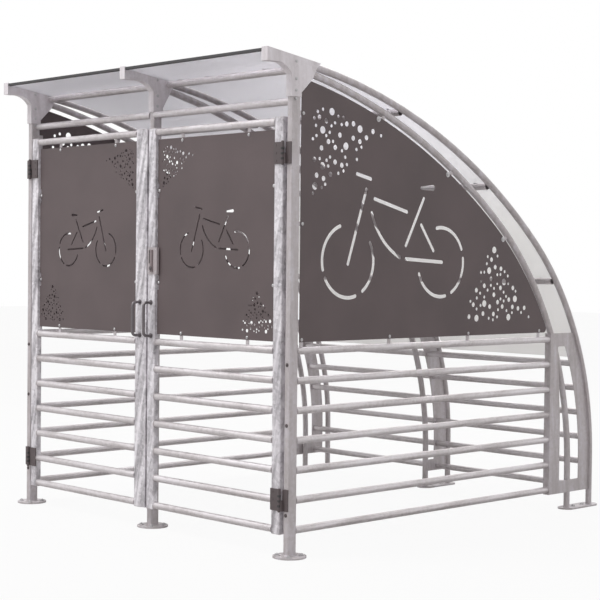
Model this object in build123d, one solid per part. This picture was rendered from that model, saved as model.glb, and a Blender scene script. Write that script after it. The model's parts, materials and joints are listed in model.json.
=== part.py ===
"""Bicycle shelter with an arched roof, three arch frames and two outward-opening doors.

Units are millimetres. X runs left to right along the door front, Y runs from the
door front to the back, Z is up and the ground is Z = 0.
"""
from build123d import *
import math
import os

os.makedirs("parts", exist_ok=True)

# Overall layout
BAY = 1000.0
FRAMES = (-BAY, 0.0, BAY)
REACH = 6 * BAY
LAYER_GAP = 0.3

# Arch tubes: start point, start slope, two radii and the slope where they meet
TUBE_D = 32.0
TUBE_WALL = 2.6
ARCH_START_Y = 120.0
TUBE_HEAD_Y = 110.0
OUTER_START_Z = 2160.0
OUTER_SLOPE = 7.8
OUTER_ROOF_R = 3085.0
OUTER_MEET = 41.3
OUTER_LEG_R = 1523.0
INNER_DROP = 34.0
INNER_START_Z = OUTER_START_Z - INNER_DROP
INNER_SLOPE = 11.5
INNER_ROOF_R = 3115.0
INNER_MEET = 38.5
INNER_LEG_R = 1640.0

# Front posts: rectangular tube
POST_W = 32.0
POST_D = 50.0
POST_WALL = 2.5
POST_TOP_DROP = 62.0
POST_TOP = OUTER_START_Z - POST_TOP_DROP
MIDDLE_SETBACK = 28.0

# Foot plates
FOOT_T = 8.0
FOOT_R = 75.0
FOOT_BOLT_R = 55.0
FOOT_BOLT_D = 12.0
REAR_FOOT_R = 46.0
REAR_BOLT_D = 12.0
REAR_BOLT_SPACING = 80.0

# Head gussets: boxed sheet metal, with heights counted down from the arch start
GUSSET_T = 3.0
GUSSET_NOSE_Y = -152.0
GUSSET_NOSE_H = 56.0
GUSSET_FRONT_Y = -6.0
GUSSET_CURVE_R = 105.0
GUSSET_THROAT_H = 45.0
GUSSET_LOW_DROP = 144.0
GUSSET_LOW_Z = OUTER_START_Z - GUSSET_LOW_DROP
GUSSET_KNEE_DROP = 124.0
GUSSET_KNEE_Z = OUTER_START_Z - GUSSET_KNEE_DROP
GUSSET_HEEL_Y = 121.0
GUSSET_HEEL_DROP = 57.0
GUSSET_HEEL_Z = OUTER_START_Z - GUSSET_HEEL_DROP
GUSSET_REAR_Y = 168.0
GUSSET_TAIL_RUN = 20.0
GUSSET_TAIL_RISE = 49.0

# Rails
RAIL_D = 33.0
RAIL_WALL = 2.6
RAIL_PITCH = 131.5
RAIL_LOW_Z = 117.0
RAIL_COUNT = 7
RAIL_ZS = [RAIL_LOW_Z + RAIL_PITCH * i for i in range(RAIL_COUNT)]
REAR_RAIL_INSET = 95.0

# Leg plates, reaching past the lowest and the highest rail
PLATE_T = 3.0
PLATE_LOW_MARGIN = 25.0
PLATE_LOW_Z = RAIL_ZS[0] - PLATE_LOW_MARGIN
PLATE_TOP_MARGIN = 32.0
PLATE_TOP_Z = RAIL_ZS[-1] + PLATE_TOP_MARGIN
PLATE_FLANGE = 38.0
PLATE_REAR_GAP = 32.0
PLATE_LIP = 14.0
WINDOW_LOW_MARGIN = 66.0
WINDOW_LOW_Z = PLATE_LOW_Z + WINDOW_LOW_MARGIN
WINDOW_TOP_MARGIN = 70.0
WINDOW_TOP_Z = PLATE_TOP_Z - WINDOW_TOP_MARGIN
WINDOW_FRONT_MARGIN = 88.0
WINDOW_BEND_RISE = 330.0
WINDOW_LEAN = 26.0
WINDOW_BACK_GAP = 125.0
WINDOW_CORNER_R = 9.0

# Purlins and roof
PURLIN_SLOPES = (7.8, 19.5, 33.0, 52.0)
PURLIN_INSET = 9.0
SHEET_T = 4.0
SHEET_SIDE_GAP = 5.0
SHEET_END_RISE = 25.5
SHEET_END_Z = RAIL_ZS[-2] + SHEET_END_RISE
SHEET_NOSE_Y = -147.0
TRIM_H = 12.0
TRIM_D = 13.0
TRIM_WALL = 3.0

# Infill panels
PANEL_T = 2.0
PANEL_RAIL_GAP = 21.5
PANEL_LOW_Z = RAIL_ZS[-1] + RAIL_D / 2 + PANEL_RAIL_GAP
PANEL_GAP = 18.0
PANEL_FRONT_GAP = 12.0
PANEL_CORNER_R = 20.0
PANEL_X = 8.0

# Screw tabs that carry the panels
TAB_W = 20.0
TAB_T = 3.0
TAB_LAP = 22.0
TAB_COUNT = 4
TAB_FRONT_INSET = 14.0
TAB_REAR_INSET = 75.0
POST_TAB_DROPS = (88.0, 572.0)
ARC_TAB_DROPS = (169.0, 400.0, 705.0)
DOOR_TAB_RISES = (248.0, 687.0)
DOOR_TAB_INSET = 184.0

# Bicycle cut-out at full size, measured from the middle between its hubs
BIKE_WHEEL_R = 166.0
BIKE_BASE = 638.0
BIKE_STROKE = 17.0
SADDLE_NOSE_D = 16.0
SADDLE_REAR_D = 28.0
FRONT_WHEEL_ARCS = ((109.0, 85.0), (208.0, 79.0), (305.0, 86.0))
REAR_WHEEL_ARCS = ((-61.0, 68.0), (23.0, 78.0), (200.0, 82.0))
SIDE_BIKE_INSET = 621.0
SIDE_BIKE_RISE = 359.0
DOOR_BIKE_RISE = 405.0
DOOR_SCALE = 0.5

# Large round cut-outs at full size, measured from a reference point of each cluster
DOT_D = 34.0
TOP_DOTS = ((0.0, 0.0), (-57.0, -85.0), (181.0, -65.0), (91.0, -148.0), (-56.0, -244.0), (-102.0, -335.0))
TOP_DOTS_INSET = 189.0
TOP_DOTS_DROP = 68.0
DOOR_TOP_DOTS_DROP = 42.0
LOW_DOTS = ((87.0, 282.0), (49.0, 179.0), (168.0, 122.0), (258.0, 36.0), (14.0, 15.0), (-45.0, -57.0), (207.0, -56.0))
LOW_DOTS_INSET = 533.0
LOW_DOTS_RISE = 141.0
DOOR_LOW_DOTS_INSET = 159.0

# Doors
DOOR_FRONT_Y = -8.0
STILE_W = 54.0
STILE_D = 30.0
STILE_WALL = 2.5
STILE_LOW_Z = RAIL_LOW_Z - RAIL_D / 2
DOOR_HEAD_DROP = 104.0
DOOR_TOP_RAIL_Z = GUSSET_LOW_Z - DOOR_HEAD_DROP
DOOR_SIDE_GAP = 17.0
RIGHT_MEET_X = 24.0
LEFT_MEET_X = -19.0
COVER_T = 3.0
COVER_LAP = 25.0
COVER_GAP = 6.5
COVER_LEG = 20.0
DOOR_PANEL_TOP_GAP = 19.0
DOOR_PANEL_SIDE_GAP = 4.0
HINGE_H = 96.0
HINGE_T = 6.0
HINGE_PIN_D = 14.0
HINGE_LOW_Z = 252.0
HINGE_TOP_DROP = 140.0
HINGE_ZS = (HINGE_LOW_Z, DOOR_TOP_RAIL_Z - HINGE_TOP_DROP)
HINGE_LEAF_W = 62.0
HINGE_PIN_OUT = 10.0
KNUCKLE_GAP = 0.3
KNUCKLE_NOTCH = 6.0
HANDLE_LOW_Z = 935.0
HANDLE_TOP_Z = 1095.0
HANDLE_D = 14.0
HANDLE_REACH = 45.0
HANDLE_BEND_R = 18.0
LOCK_Z = 1295.0
LOCK_H = 130.0
LOCK_PLATE_T = 3.0
LOCK_MARGIN = 2.0
LOCK_CASE_W = 18.0
LOCK_CASE_D = 10.0


def heading(angle):
    """Direction of travel along the arch, angle degrees below the horizontal."""
    return Vector(math.cos(math.radians(angle)), -math.sin(math.radians(angle)))


def outward(angle):
    """Direction at right angles to the travel, pointing up and out of the arch."""
    return Vector(math.sin(math.radians(angle)), math.cos(math.radians(angle)))


class Arch:
    """Two tangent arcs from the head down to a vertical leg, drawn in the YZ plane."""

    def __init__(self, start_z, slope, roof_r, meet, leg_r):
        self.start = Vector(ARCH_START_Y, start_z)
        self.slope = slope
        self.roof_r = roof_r
        self.meet = meet
        self.leg_r = leg_r

    def centre(self, angle):
        """Point of the tube's centre line where it slopes down by angle degrees."""
        low = min(angle, self.meet)
        point = self.start + (outward(low) - outward(self.slope)) * self.roof_r
        if angle > self.meet:
            point = point + (outward(angle) - outward(self.meet)) * self.leg_r
        return point

    def point(self, angle, offset=0.0):
        """Point offset outward from the centre line."""
        return self.centre(angle) + outward(angle) * offset

    def angle_at(self, height, offset=0.0):
        """Slope where the offset line passes a height, found by halving."""
        low, high = self.slope, 90.0
        for _ in range(40):
            middle = (low + high) / 2
            if self.point(middle, offset).Y > height:
                low = middle
            else:
                high = middle
        return low

    def leg_y(self, height, offset=0.0):
        """Depth of the offset line at a height."""
        return self.point(self.angle_at(height, offset), offset).X

    def edges(self, offset, foot_z, nose_y=None):
        """Lines and arcs of the offset line from the head to the foot."""
        start = self.point(self.slope, offset)
        reaches = self.point(90.0, offset).Y < foot_z
        last = self.angle_at(foot_z, offset) if reaches else 90.0
        roof = JernArc(start, heading(self.slope), self.roof_r + offset, self.slope - self.meet)
        leg = JernArc(roof @ 1, heading(self.meet), self.leg_r + offset, self.meet - last)
        lines = [roof, leg]
        if not reaches:
            foot = leg @ 1
            lines.append(Line(foot, (foot.X, foot_z)))
        if nose_y is not None:
            run = (start.X - nose_y) / heading(self.slope).X
            lines.insert(0, Line(start - heading(self.slope) * run, start))
        return lines


OUTER = Arch(OUTER_START_Z, OUTER_SLOPE, OUTER_ROOF_R, OUTER_MEET, OUTER_LEG_R)
INNER = Arch(INNER_START_Z, INNER_SLOPE, INNER_ROOF_R, INNER_MEET, INNER_LEG_R)
OUTER_FOOT_Y = OUTER.leg_y(FOOT_T)
INNER_FOOT_Y = INNER.leg_y(FOOT_T)
PLATE_FRONT_Y = math.floor(INNER.leg_y(PLATE_TOP_Z, -TUBE_D / 2) - LAYER_GAP - PLATE_T)
WINDOW_FRONT_Y = PLATE_FRONT_Y + WINDOW_FRONT_MARGIN
PANEL_FRONT_Y = POST_D + PANEL_FRONT_GAP
PANEL_REAR_Y = INNER.leg_y(PANEL_LOW_Z, -TUBE_D / 2 - PANEL_GAP)


def tube_x(diameter, wall, x_low, x_high, y, z):
    """Round tube lying along X."""
    bar = Pos(x_low, y, z) * extrude(Plane.YZ * Circle(diameter / 2), x_high - x_low)
    bore = Pos(x_low, y, z) * extrude(Plane.YZ * Circle(diameter / 2 - wall), x_high - x_low)
    return bar - bore


def tube_y(diameter, wall, y_low, y_high, x, z):
    """Round tube lying along Y."""
    ring = Circle(diameter / 2) - Circle(diameter / 2 - wall)
    return Pos(x, y_high, z) * extrude(Plane.XZ * ring, y_high - y_low)


def box_tube(width, depth, wall, z_low, z_high):
    """Upright rectangular tube with rounded corners, centred on X and Y."""
    outside = RectangleRounded(width, depth, 2 * wall)
    inside = RectangleRounded(width - 2 * wall, depth - 2 * wall, wall)
    return Pos(0, 0, z_low) * extrude(outside - inside, z_high - z_low)


def yz_plate(face, x_low, x_high):
    """Sheet with the given YZ outline between two X positions."""
    return Pos(x_low, 0, 0) * extrude(Plane.YZ * face, x_high - x_low)


def below_arch(arch, offset):
    """Region between an arch's offset line and the ground."""
    lines = arch.edges(offset, 0, nose_y=GUSSET_NOSE_Y)
    first = lines[0] @ 0
    last = lines[-1] @ 1
    corner = Vector(first.X, 0)
    lines += [Line(last, corner), Line(corner, first)]
    return make_face(Curve() + lines)


def band(low_z, high_z, from_y=-REACH / 2):
    """Region between two heights, behind a given depth."""
    return Pos(from_y + REACH / 2, (low_z + high_z) / 2) * Rectangle(REACH, high_z - low_z)


def front_y(frame_x):
    """Front face of the post of a frame."""
    return MIDDLE_SETBACK if frame_x == 0 else 0.0


def front_post(frame_x):
    """Rectangular front post standing on its foot plate."""
    centre_y = front_y(frame_x) + POST_D / 2
    return Pos(frame_x, centre_y, 0) * box_tube(POST_W, POST_D, POST_WALL, FOOT_T, POST_TOP)


def arch_tube(arch, frame_x):
    """Bent round tube of one frame."""
    path = Plane.YZ * (Curve() + arch.edges(0, FOOT_T, nose_y=TUBE_HEAD_Y))
    section = Circle(TUBE_D / 2) - Circle(TUBE_D / 2 - TUBE_WALL)
    return Pos(frame_x, 0, 0) * sweep(Plane(path @ 0, z_dir=path % 0) * section, path)


def front_foot(frame_x):
    """Round plate with four anchor holes."""
    holes = PolarLocations(FOOT_BOLT_R, 4, 45) * Circle(FOOT_BOLT_D / 2)
    plate = extrude(Circle(FOOT_R) - holes, FOOT_T)
    return Pos(frame_x, front_y(frame_x) + POST_D / 2, 0) * plate


def rear_foot(frame_x):
    """Oval plate under both tubes of a leg, with two anchor holes between them."""
    span = OUTER_FOOT_Y - INNER_FOOT_Y
    plate = SlotCenterToCenter(span, 2 * REAR_FOOT_R, rotation=90)
    holes = [Pos(0, side * REAR_BOLT_SPACING / 2) * Circle(REAR_BOLT_D / 2) for side in (-1, 1)]
    return Pos(frame_x, INNER_FOOT_Y + span / 2, 0) * extrude(plate - holes, FOOT_T)


def gusset_face(front):
    """Side view of a head gusset whose post front stands at the given depth."""
    top = below_arch(OUTER, TUBE_D / 2 + LAYER_GAP + GUSSET_T)
    nose_run = ARCH_START_Y - GUSSET_NOSE_Y
    nose_low = (OUTER.point(OUTER_SLOPE, TUBE_D / 2) - heading(OUTER_SLOPE) * nose_run).Y - GUSSET_NOSE_H
    ceiling = OUTER_START_Z + GUSSET_LOW_DROP
    throat = front + GUSSET_FRONT_Y
    back = front + POST_D + LAYER_GAP + GUSSET_T
    curve_start = (throat - GUSSET_CURVE_R, nose_low)
    curve_end = (throat, nose_low - GUSSET_THROAT_H)
    nose = Polyline((GUSSET_NOSE_Y, ceiling), (GUSSET_NOSE_Y, nose_low), curve_start)
    curve = RadiusArc(curve_start, curve_end, GUSSET_CURVE_R)
    rest = Polyline(
        curve_end,
        (throat, GUSSET_LOW_Z),
        (back, GUSSET_LOW_Z),
        (back, GUSSET_KNEE_Z),
        (GUSSET_HEEL_Y, GUSSET_HEEL_Z),
        (GUSSET_REAR_Y - GUSSET_TAIL_RUN, GUSSET_HEEL_Z + GUSSET_TAIL_RISE),
        (GUSSET_REAR_Y, GUSSET_HEEL_Z + GUSSET_TAIL_RISE + GUSSET_TAIL_RUN),
        (GUSSET_REAR_Y, ceiling),
        (GUSSET_NOSE_Y, ceiling),
    )
    return make_face(Curve() + [nose, curve, rest]) & top


def gusset_cavity(face, front):
    """Inside of a gusset, open below for the post and behind for the tubes."""
    post_mouth = Pos(front + POST_D / 2, GUSSET_LOW_Z) * Rectangle(
        POST_D + 2 * LAYER_GAP, 2 * (POST_TOP + LAYER_GAP - GUSSET_LOW_Z))
    behind = band(GUSSET_HEEL_Z + GUSSET_T, REACH / 2, TUBE_HEAD_Y)
    return offset(face, -GUSSET_T) + post_mouth + (behind & below_arch(OUTER, TUBE_D / 2 + LAYER_GAP))


def head_gusset(frame_x):
    """Boxed head: two cheeks with closing strips in front, below and on top."""
    front = front_y(frame_x)
    face = gusset_face(front)
    inside = POST_W / 2 + LAYER_GAP
    outside = inside + GUSSET_T
    box = yz_plate(face, -outside, outside) - yz_plate(gusset_cavity(face, front), -inside, inside)
    return Pos(frame_x, 0, 0) * box


def leg_region(front_line):
    """Side view of a leg plate from a front line to the outer tube."""
    return below_arch(OUTER, -PLATE_REAR_GAP) & band(PLATE_LOW_Z, PLATE_TOP_Z, front_line)


def leg_window():
    """Tall window that narrows towards its top."""
    rear = below_arch(OUTER, -WINDOW_BACK_GAP)
    outline = Polyline(
        (WINDOW_FRONT_Y, WINDOW_LOW_Z),
        (WINDOW_FRONT_Y, WINDOW_LOW_Z + WINDOW_BEND_RISE),
        (WINDOW_FRONT_Y - WINDOW_LEAN, WINDOW_TOP_Z),
        (WINDOW_FRONT_Y + REACH, WINDOW_TOP_Z),
        (WINDOW_FRONT_Y + REACH, WINDOW_LOW_Z),
        close=True,
    )
    window = make_face(outline) & rear
    return offset(offset(window, -WINDOW_CORNER_R), WINDOW_CORNER_R)


def side_leg_plate(side):
    """Folded plate on the outside of a side frame's leg, carrying the side rails."""
    inner_x = TUBE_D / 2 + LAYER_GAP
    face = leg_region(PLATE_FRONT_Y) - leg_window()
    cheek = yz_plate(face, inner_x, inner_x + PLATE_T)
    height = PLATE_TOP_Z - PLATE_LOW_Z
    flange_x = inner_x + PLATE_T - PLATE_FLANGE / 2
    flange = Pos(flange_x, PLATE_FRONT_Y + PLATE_T / 2, PLATE_LOW_Z + height / 2) * Box(
        PLATE_FLANGE, PLATE_T, height)
    edge = leg_region(PLATE_FRONT_Y) - below_arch(OUTER, -PLATE_REAR_GAP - PLATE_T)
    lip = yz_plate(edge, inner_x, inner_x + PLATE_LIP)
    plate = cheek + flange + lip
    if side < 0:
        plate = mirror(plate, Plane.YZ)
    return Pos(side * BAY, 0, 0) * plate


def middle_leg_plate():
    """Flat plate between the two tubes of the middle leg, open towards the front tube."""
    inside = below_arch(OUTER, -TUBE_D / 2) - below_arch(INNER, TUBE_D / 2)
    hole = below_arch(OUTER, -WINDOW_BACK_GAP) & band(WINDOW_LOW_Z, WINDOW_TOP_Z)
    plate = (inside & band(PLATE_LOW_Z, PLATE_TOP_Z)) - hole
    return yz_plate(plate, -PLATE_T / 2, PLATE_T / 2)


def bays(half):
    """X ranges between the frames, each end kept half a width off the frame."""
    return [(left + half, left + BAY - half) for left in FRAMES[:2]]


def purlins():
    """Round cross tubes between the outer arch tubes."""
    tubes = []
    for slope in PURLIN_SLOPES:
        at = OUTER.point(slope, -PURLIN_INSET)
        head = slope == PURLIN_SLOPES[0]
        for low, high in bays(POST_W / 2 + LAYER_GAP + GUSSET_T if head else TUBE_D / 2):
            tubes.append(tube_x(RAIL_D, RAIL_WALL, low, high, at.X, at.Y))
    return tubes


def front_transom():
    """Cross tubes between the front posts under the head gussets."""
    y = (MIDDLE_SETBACK + POST_D) / 2
    z = GUSSET_LOW_Z - LAYER_GAP - RAIL_D / 2
    return [tube_x(RAIL_D, RAIL_WALL, low, high, y, z) for low, high in bays(POST_W / 2)]


def rear_rails():
    """Cross tubes between the rear legs."""
    tubes = []
    for height in RAIL_ZS[:-1]:
        y = OUTER.leg_y(height, -REAR_RAIL_INSET)
        for side in (-1, 1):
            ends = sorted((side * PLATE_T / 2, side * (BAY + TUBE_D / 2 + LAYER_GAP)))
            tubes.append(tube_x(RAIL_D, RAIL_WALL, ends[0], ends[1], y, height))
    return tubes


def roof_sheet(low, high):
    """Curved translucent sheet of one bay, from the canopy nose to the rear transom."""
    under = RAIL_D / 2 - PURLIN_INSET
    section = below_arch(OUTER, under + SHEET_T) - below_arch(OUTER, under)
    return yz_plate(section & band(SHEET_END_Z, REACH / 2, SHEET_NOSE_Y), low, high)


def roof_sheets():
    """One sheet in each bay."""
    return [roof_sheet(low, high) for low, high in bays(TUBE_D / 2 + SHEET_SIDE_GAP)]


def roof_edge_trim():
    """Dark channel pushed over the front edge of each roof sheet."""
    under = RAIL_D / 2 - PURLIN_INSET
    start = OUTER.point(OUTER_SLOPE, under + SHEET_T / 2)
    along = heading(OUTER_SLOPE)
    edge = start - along * ((start.X - SHEET_NOSE_Y) / along.X)
    bar = Pos(TRIM_D / 2 - TRIM_WALL - LAYER_GAP, 0) * Rectangle(TRIM_D, TRIM_H)
    groove = Pos(TRIM_D / 2 - LAYER_GAP, 0) * Rectangle(TRIM_D, SHEET_T + 2 * LAYER_GAP)
    channel = Pos(edge.X, edge.Y) * Rot(0, 0, -OUTER_SLOPE) * (bar - groove)
    return [yz_plate(channel, low, high) for low, high in bays(TUBE_D / 2 + SHEET_SIDE_GAP)]


def side_rails(side):
    """Cross tubes from the front post back to the leg plate."""
    return [tube_y(RAIL_D, RAIL_WALL, POST_D, PLATE_FRONT_Y, side * BAY, height) for height in RAIL_ZS]


def stroke(start, end):
    """Straight cut with round ends between two points."""
    run = Vector(end) - Vector(start)
    middle = (Vector(end) + Vector(start)) / 2
    turn = math.degrees(math.atan2(run.Y, run.X))
    return Pos(middle.X, middle.Y) * Rot(0, 0, turn) * SlotCenterToCenter(run.length, BIKE_STROKE)


def saddle(nose, rear):
    """Tapered cut between a small and a large circle."""
    small = Pos(*nose) * Circle(SADDLE_NOSE_D / 2)
    large = Pos(*rear) * Circle(SADDLE_REAR_D / 2)
    return make_hull(small.edges() + large.edges())


def bicycle(scale_by=1.0):
    """Stencil of a bicycle that faces left, its cuts kept apart by bridges."""
    hub = BIKE_BASE / 2
    cuts = [
        stroke((-266, 396), (-176, 377)),
        stroke((-205, 328), (-321, -13)),
        stroke((-148, 287), (72, 234)),
        stroke((191, 301), (68, 76)),
        stroke((175, 175), (264, 55)),
        stroke((69, 13), (327, 0)),
        SlotArc(ThreePointArc((-167, 222), (-105, 115), (27, 20)), BIKE_STROKE),
        saddle((175, 350), (257, 354)),
    ]
    for x, arcs in ((-hub, FRONT_WHEEL_ARCS), (hub, REAR_WHEEL_ARCS)):
        cuts += [SlotArc(CenterArc((x, 0), BIKE_WHEEL_R, start, span), BIKE_STROKE) for start, span in arcs]
    return scale(Sketch() + cuts, by=scale_by)


def dots(points, x, y, scale_by=1.0):
    """Round cuts of one cluster around its reference point."""
    return [Pos(x + u * scale_by, y + v * scale_by) * Circle(DOT_D * scale_by / 2) for u, v in points]


def side_panel_face():
    """Outline of a side panel: straight front and bottom, curved under the inner tube."""
    outline = Polyline(
        (PANEL_FRONT_Y, PANEL_LOW_Z),
        (PANEL_FRONT_Y, GUSSET_KNEE_Z),
        (GUSSET_HEEL_Y + PANEL_FRONT_GAP, GUSSET_HEEL_Z + LAYER_GAP),
        (GUSSET_HEEL_Y + PANEL_FRONT_GAP, REACH / 2),
        (REACH / 2, REACH / 2),
        (REACH / 2, PANEL_LOW_Z),
        close=True,
    )
    face = below_arch(INNER, -TUBE_D / 2 - PANEL_GAP) & make_face(outline)
    return fillet(face.vertices().sort_by(Axis.X)[-1], PANEL_CORNER_R)


def side_panel(side):
    """Flat dark sheet of a side wall with its bicycle and dots cut out."""
    face = side_panel_face()
    cuts = [Pos(PANEL_FRONT_Y + SIDE_BIKE_INSET, PANEL_LOW_Z + SIDE_BIKE_RISE) * bicycle()]
    cuts += dots(TOP_DOTS, PANEL_FRONT_Y + TOP_DOTS_INSET, GUSSET_KNEE_Z - TOP_DOTS_DROP)
    cuts += dots(LOW_DOTS, PANEL_REAR_Y - LOW_DOTS_INSET, PANEL_LOW_Z + LOW_DOTS_RISE)
    low = PANEL_X if side > 0 else -PANEL_X - PANEL_T
    return yz_plate(face - cuts, side * BAY + low, side * BAY + low + PANEL_T)


def rim(radius, out):
    """Height of a round tube's surface at a distance out from its middle plane."""
    return math.sqrt(radius ** 2 - out ** 2) + LAYER_GAP


def side_tab(side, low, high):
    """Tab behind a side panel, given as two opposite YZ corners."""
    near = PANEL_X - TAB_T
    face = Pos((low[0] + high[0]) / 2, (low[1] + high[1]) / 2) * Rectangle(high[0] - low[0], high[1] - low[1])
    tab = yz_plate(face, BAY + near, BAY + PANEL_X)
    return tab if side > 0 else mirror(tab, Plane.YZ)


def arc_tab(side, height):
    """Tab from the inner arch tube down behind a side panel's curved edge."""
    edge = TUBE_D / 2 + PANEL_GAP
    angle = INNER.angle_at(height, -edge)
    low = edge + TAB_LAP
    high = rim(TUBE_D / 2, PANEL_X - TAB_T)
    middle = INNER.point(angle, -(low + high) / 2)
    face = Pos(middle.X, middle.Y) * Rot(0, 0, -angle) * Rectangle(TAB_W, low - high)
    tab = yz_plate(face, BAY + PANEL_X - TAB_T, BAY + PANEL_X)
    return tab if side > 0 else mirror(tab, Plane.YZ)


def side_panel_tabs():
    """Screw tabs of both side panels, along the top rail, the post and the inner tube."""
    foot = RAIL_ZS[-1] + rim(RAIL_D / 2, PANEL_X - TAB_T)
    first = PANEL_FRONT_Y + TAB_FRONT_INSET
    pitch = (PANEL_REAR_Y - TAB_REAR_INSET - first) / (TAB_COUNT - 1)
    tabs = []
    for side in (-1, 1):
        for y in [first + pitch * i for i in range(TAB_COUNT)]:
            tabs.append(side_tab(side, (y - TAB_W / 2, foot), (y + TAB_W / 2, PANEL_LOW_Z + TAB_LAP)))
        for z in [GUSSET_KNEE_Z - drop for drop in POST_TAB_DROPS]:
            tabs.append(side_tab(side, (POST_D, z - TAB_W / 2), (PANEL_FRONT_Y + TAB_LAP, z + TAB_W / 2)))
        for drop in ARC_TAB_DROPS:
            tabs.append(arc_tab(side, INNER_START_Z - drop))
    return tabs


def door_panel_tabs(side):
    """Screw tabs behind a door panel, two on each edge."""
    low, high = door_opening(side)
    y = DOOR_FRONT_Y + (STILE_D + PANEL_T + TAB_T) / 2
    foot = RAIL_ZS[-1] + rim(RAIL_D / 2, PANEL_T / 2)
    rise = PANEL_LOW_Z + TAB_LAP - foot
    head = DOOR_TOP_RAIL_Z - rim(RAIL_D / 2, PANEL_T / 2)
    drop = head - (door_panel_top() - TAB_LAP)
    reach = DOOR_PANEL_SIDE_GAP + TAB_LAP
    tabs = []
    for x in (low + DOOR_TAB_INSET, high - DOOR_TAB_INSET):
        tabs.append(Pos(x, y, foot + rise / 2) * Box(TAB_W, TAB_T, rise))
        tabs.append(Pos(x, y, head - drop / 2) * Box(TAB_W, TAB_T, drop))
    for z in [PANEL_LOW_Z + up for up in DOOR_TAB_RISES]:
        for x in (low + reach / 2, high - reach / 2):
            tabs.append(Pos(x, y, z) * Box(reach, TAB_T, TAB_W))
    return tabs


def door_span(side):
    """X of the meeting edge and of the hinge edge of a door."""
    meet = RIGHT_MEET_X if side > 0 else LEFT_MEET_X
    return meet, side * (BAY - POST_W / 2 - DOOR_SIDE_GAP)


def stile_centres(side):
    """X centres of the meeting stile and the hinge stile."""
    meet, hinge = door_span(side)
    return meet + side * STILE_W / 2, hinge - side * STILE_W / 2


def door_opening(side):
    """X range between the facing sides of a door's two stiles."""
    meet, hinge = door_span(side)
    low, high = sorted((meet + side * STILE_W, hinge - side * STILE_W))
    return low, high


def door_stiles(side):
    """Upright rectangular tubes of a door."""
    y = DOOR_FRONT_Y + STILE_D / 2
    top = DOOR_TOP_RAIL_Z + RAIL_D / 2
    return [Pos(x, y, 0) * box_tube(STILE_W, STILE_D, STILE_WALL, STILE_LOW_Z, top)
            for x in stile_centres(side)]


def door_rails(side):
    """Cross tubes of a door: one on top and the lower ones at the wall rails' heights."""
    low, high = door_opening(side)
    y = DOOR_FRONT_Y + STILE_D / 2
    heights = RAIL_ZS + [DOOR_TOP_RAIL_Z]
    return [tube_x(RAIL_D, RAIL_WALL, low, high, y, height) for height in heights]


def door_panel_top():
    """Height of a door panel's top edge."""
    return DOOR_TOP_RAIL_Z - RAIL_D / 2 - DOOR_PANEL_TOP_GAP


def door_panel(side):
    """Flat dark sheet of a door; the cuts are drawn for the right door and mirrored."""
    low, high = door_opening(side)
    half = (high - low) / 2 - DOOR_PANEL_SIDE_GAP
    top = door_panel_top()
    sheet = Pos(0, (PANEL_LOW_Z + top) / 2) * Rectangle(2 * half, top - PANEL_LOW_Z)
    cuts = [Pos(0, PANEL_LOW_Z + DOOR_BIKE_RISE) * bicycle(DOOR_SCALE)]
    cuts += dots(TOP_DOTS, TOP_DOTS_INSET * DOOR_SCALE - half, top - DOOR_TOP_DOTS_DROP, DOOR_SCALE)
    cuts += dots(LOW_DOTS, half - DOOR_LOW_DOTS_INSET, PANEL_LOW_Z + LOW_DOTS_RISE * DOOR_SCALE, DOOR_SCALE)
    panel = extrude(Plane.XZ * (sheet - cuts), PANEL_T)
    if side < 0:
        panel = mirror(panel, Plane.YZ)
    return Pos((low + high) / 2, DOOR_FRONT_Y + (STILE_D + PANEL_T) / 2, 0) * panel


def cover_strip():
    """Angle strip on the left meeting stile that covers the gap between the doors."""
    low = LEFT_MEET_X - COVER_LAP
    high = RIGHT_MEET_X - COVER_GAP
    height = DOOR_TOP_RAIL_Z + RAIL_D / 2 - STILE_LOW_Z
    middle_z = STILE_LOW_Z + height / 2
    strip = Pos((low + high) / 2, DOOR_FRONT_Y - COVER_T / 2, middle_z) * Box(high - low, COVER_T, height)
    leg = Pos(high - COVER_T / 2, DOOR_FRONT_Y + COVER_LEG / 2, middle_z) * Box(COVER_T, COVER_LEG, height)
    return strip + leg


def door_handle(side):
    """Upright D-shaped pull on the meeting stile."""
    x, _ = stile_centres(side)
    front = DOOR_FRONT_Y
    if side < 0:
        x = LEFT_MEET_X - COVER_LAP / 2
        front = DOOR_FRONT_Y - COVER_T
    path = Polyline((front, HANDLE_LOW_Z), (front - HANDLE_REACH, HANDLE_LOW_Z),
                    (front - HANDLE_REACH, HANDLE_TOP_Z), (front, HANDLE_TOP_Z))
    path = Plane.YZ * fillet(path.vertices().sort_by(Axis.X)[:2], HANDLE_BEND_R)
    section = Plane(path @ 0, z_dir=path % 0) * Circle(HANDLE_D / 2)
    return Pos(x, 0, 0) * sweep(section, path)


def lock_case():
    """Lock plate on the right meeting stile with the case standing out beside it."""
    low = RIGHT_MEET_X + LOCK_MARGIN
    edge = RIGHT_MEET_X + STILE_W
    high = edge + LOCK_CASE_W
    plate = Pos((low + high) / 2, DOOR_FRONT_Y - LOCK_PLATE_T / 2, LOCK_Z) * Box(high - low, LOCK_PLATE_T, LOCK_H)
    case = Pos(edge + LOCK_CASE_W / 2, DOOR_FRONT_Y + LOCK_CASE_D / 2, LOCK_Z) * Box(
        LOCK_CASE_W, LOCK_CASE_D, LOCK_H)
    return plate + case


def hinge_axis(side):
    """X and Y of the hinge pin of a door."""
    _, edge = door_span(side)
    return edge + side * DOOR_SIDE_GAP / 2, DOOR_FRONT_Y - HINGE_PIN_OUT


def knuckle(side, low, high):
    """Solid half of a hinge's barrel between two heights."""
    x, y = hinge_axis(side)
    return Pos(x, y, (low + high) / 2) * Cylinder(HINGE_PIN_D / 2, high - low)


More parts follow.
